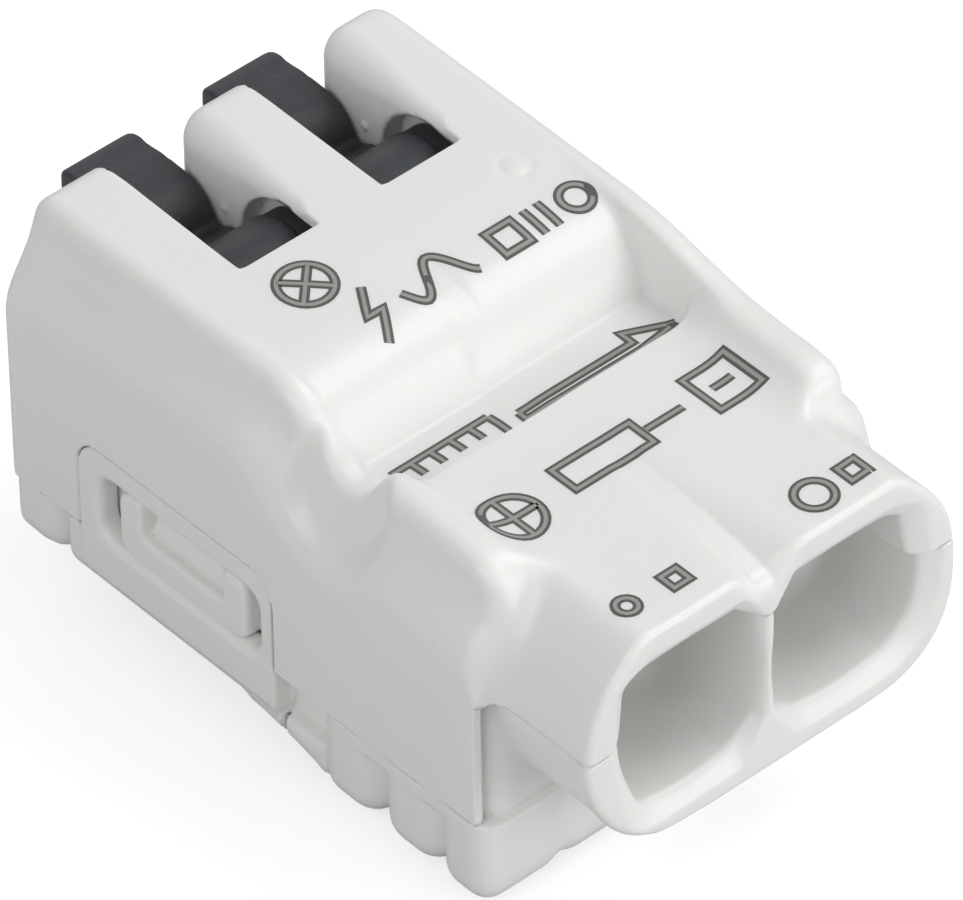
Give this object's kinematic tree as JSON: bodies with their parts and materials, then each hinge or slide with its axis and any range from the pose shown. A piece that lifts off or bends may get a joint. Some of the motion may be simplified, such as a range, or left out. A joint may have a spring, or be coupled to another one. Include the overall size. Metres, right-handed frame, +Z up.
{
  "type": "lever wire connector",
  "caption": "Compact lever connector that joins stripped wires side by side on a common current bar inside a two-part moulded housing.",
  "frame": {"origin": "centre of the footprint on the underside, halfway between the wire mouths' plane and the lever tips", "axes": "+X across the two wire entries, +Y from the wire mouths to the lever tips, +Z up; wires go in along +Y"},
  "size_m": [0.013, 0.0222, 0.0114],
  "materials": {
    "housing_white": "satin moulded white",
    "lever_anthracite": "fine textured anthracite",
    "spring_steel": "rolled stainless strip",
    "tinned_copper": "matt tin plating over copper"
  },
  "bodies": {
    "housing": {"upper_housing": "housing_white", "lower_housing": "housing_white", "clamp_spring_left": "spring_steel", "clamp_spring_right": "spring_steel", "current_bar": "tinned_copper"},
    "lever_left": {"lever_left": "lever_anthracite"},
    "lever_right": {"lever_right": "lever_anthracite"}
  },
  "joints": [
    {"name": "lever_left_hinge", "type": "hinge", "parent": "housing", "child": "lever_left", "pos_m": [-0.00229, 0.0051, 0.00935], "axis": [1, 0, 0], "range_deg": [0, 90], "deforming": ["clamp_spring_left"]},
    {"name": "lever_right_hinge", "type": "hinge", "parent": "housing", "child": "lever_right", "pos_m": [0.00229, 0.0051, 0.00935], "axis": [1, 0, 0], "range_deg": [0, 90], "deforming": ["clamp_spring_right"]}
  ]
}
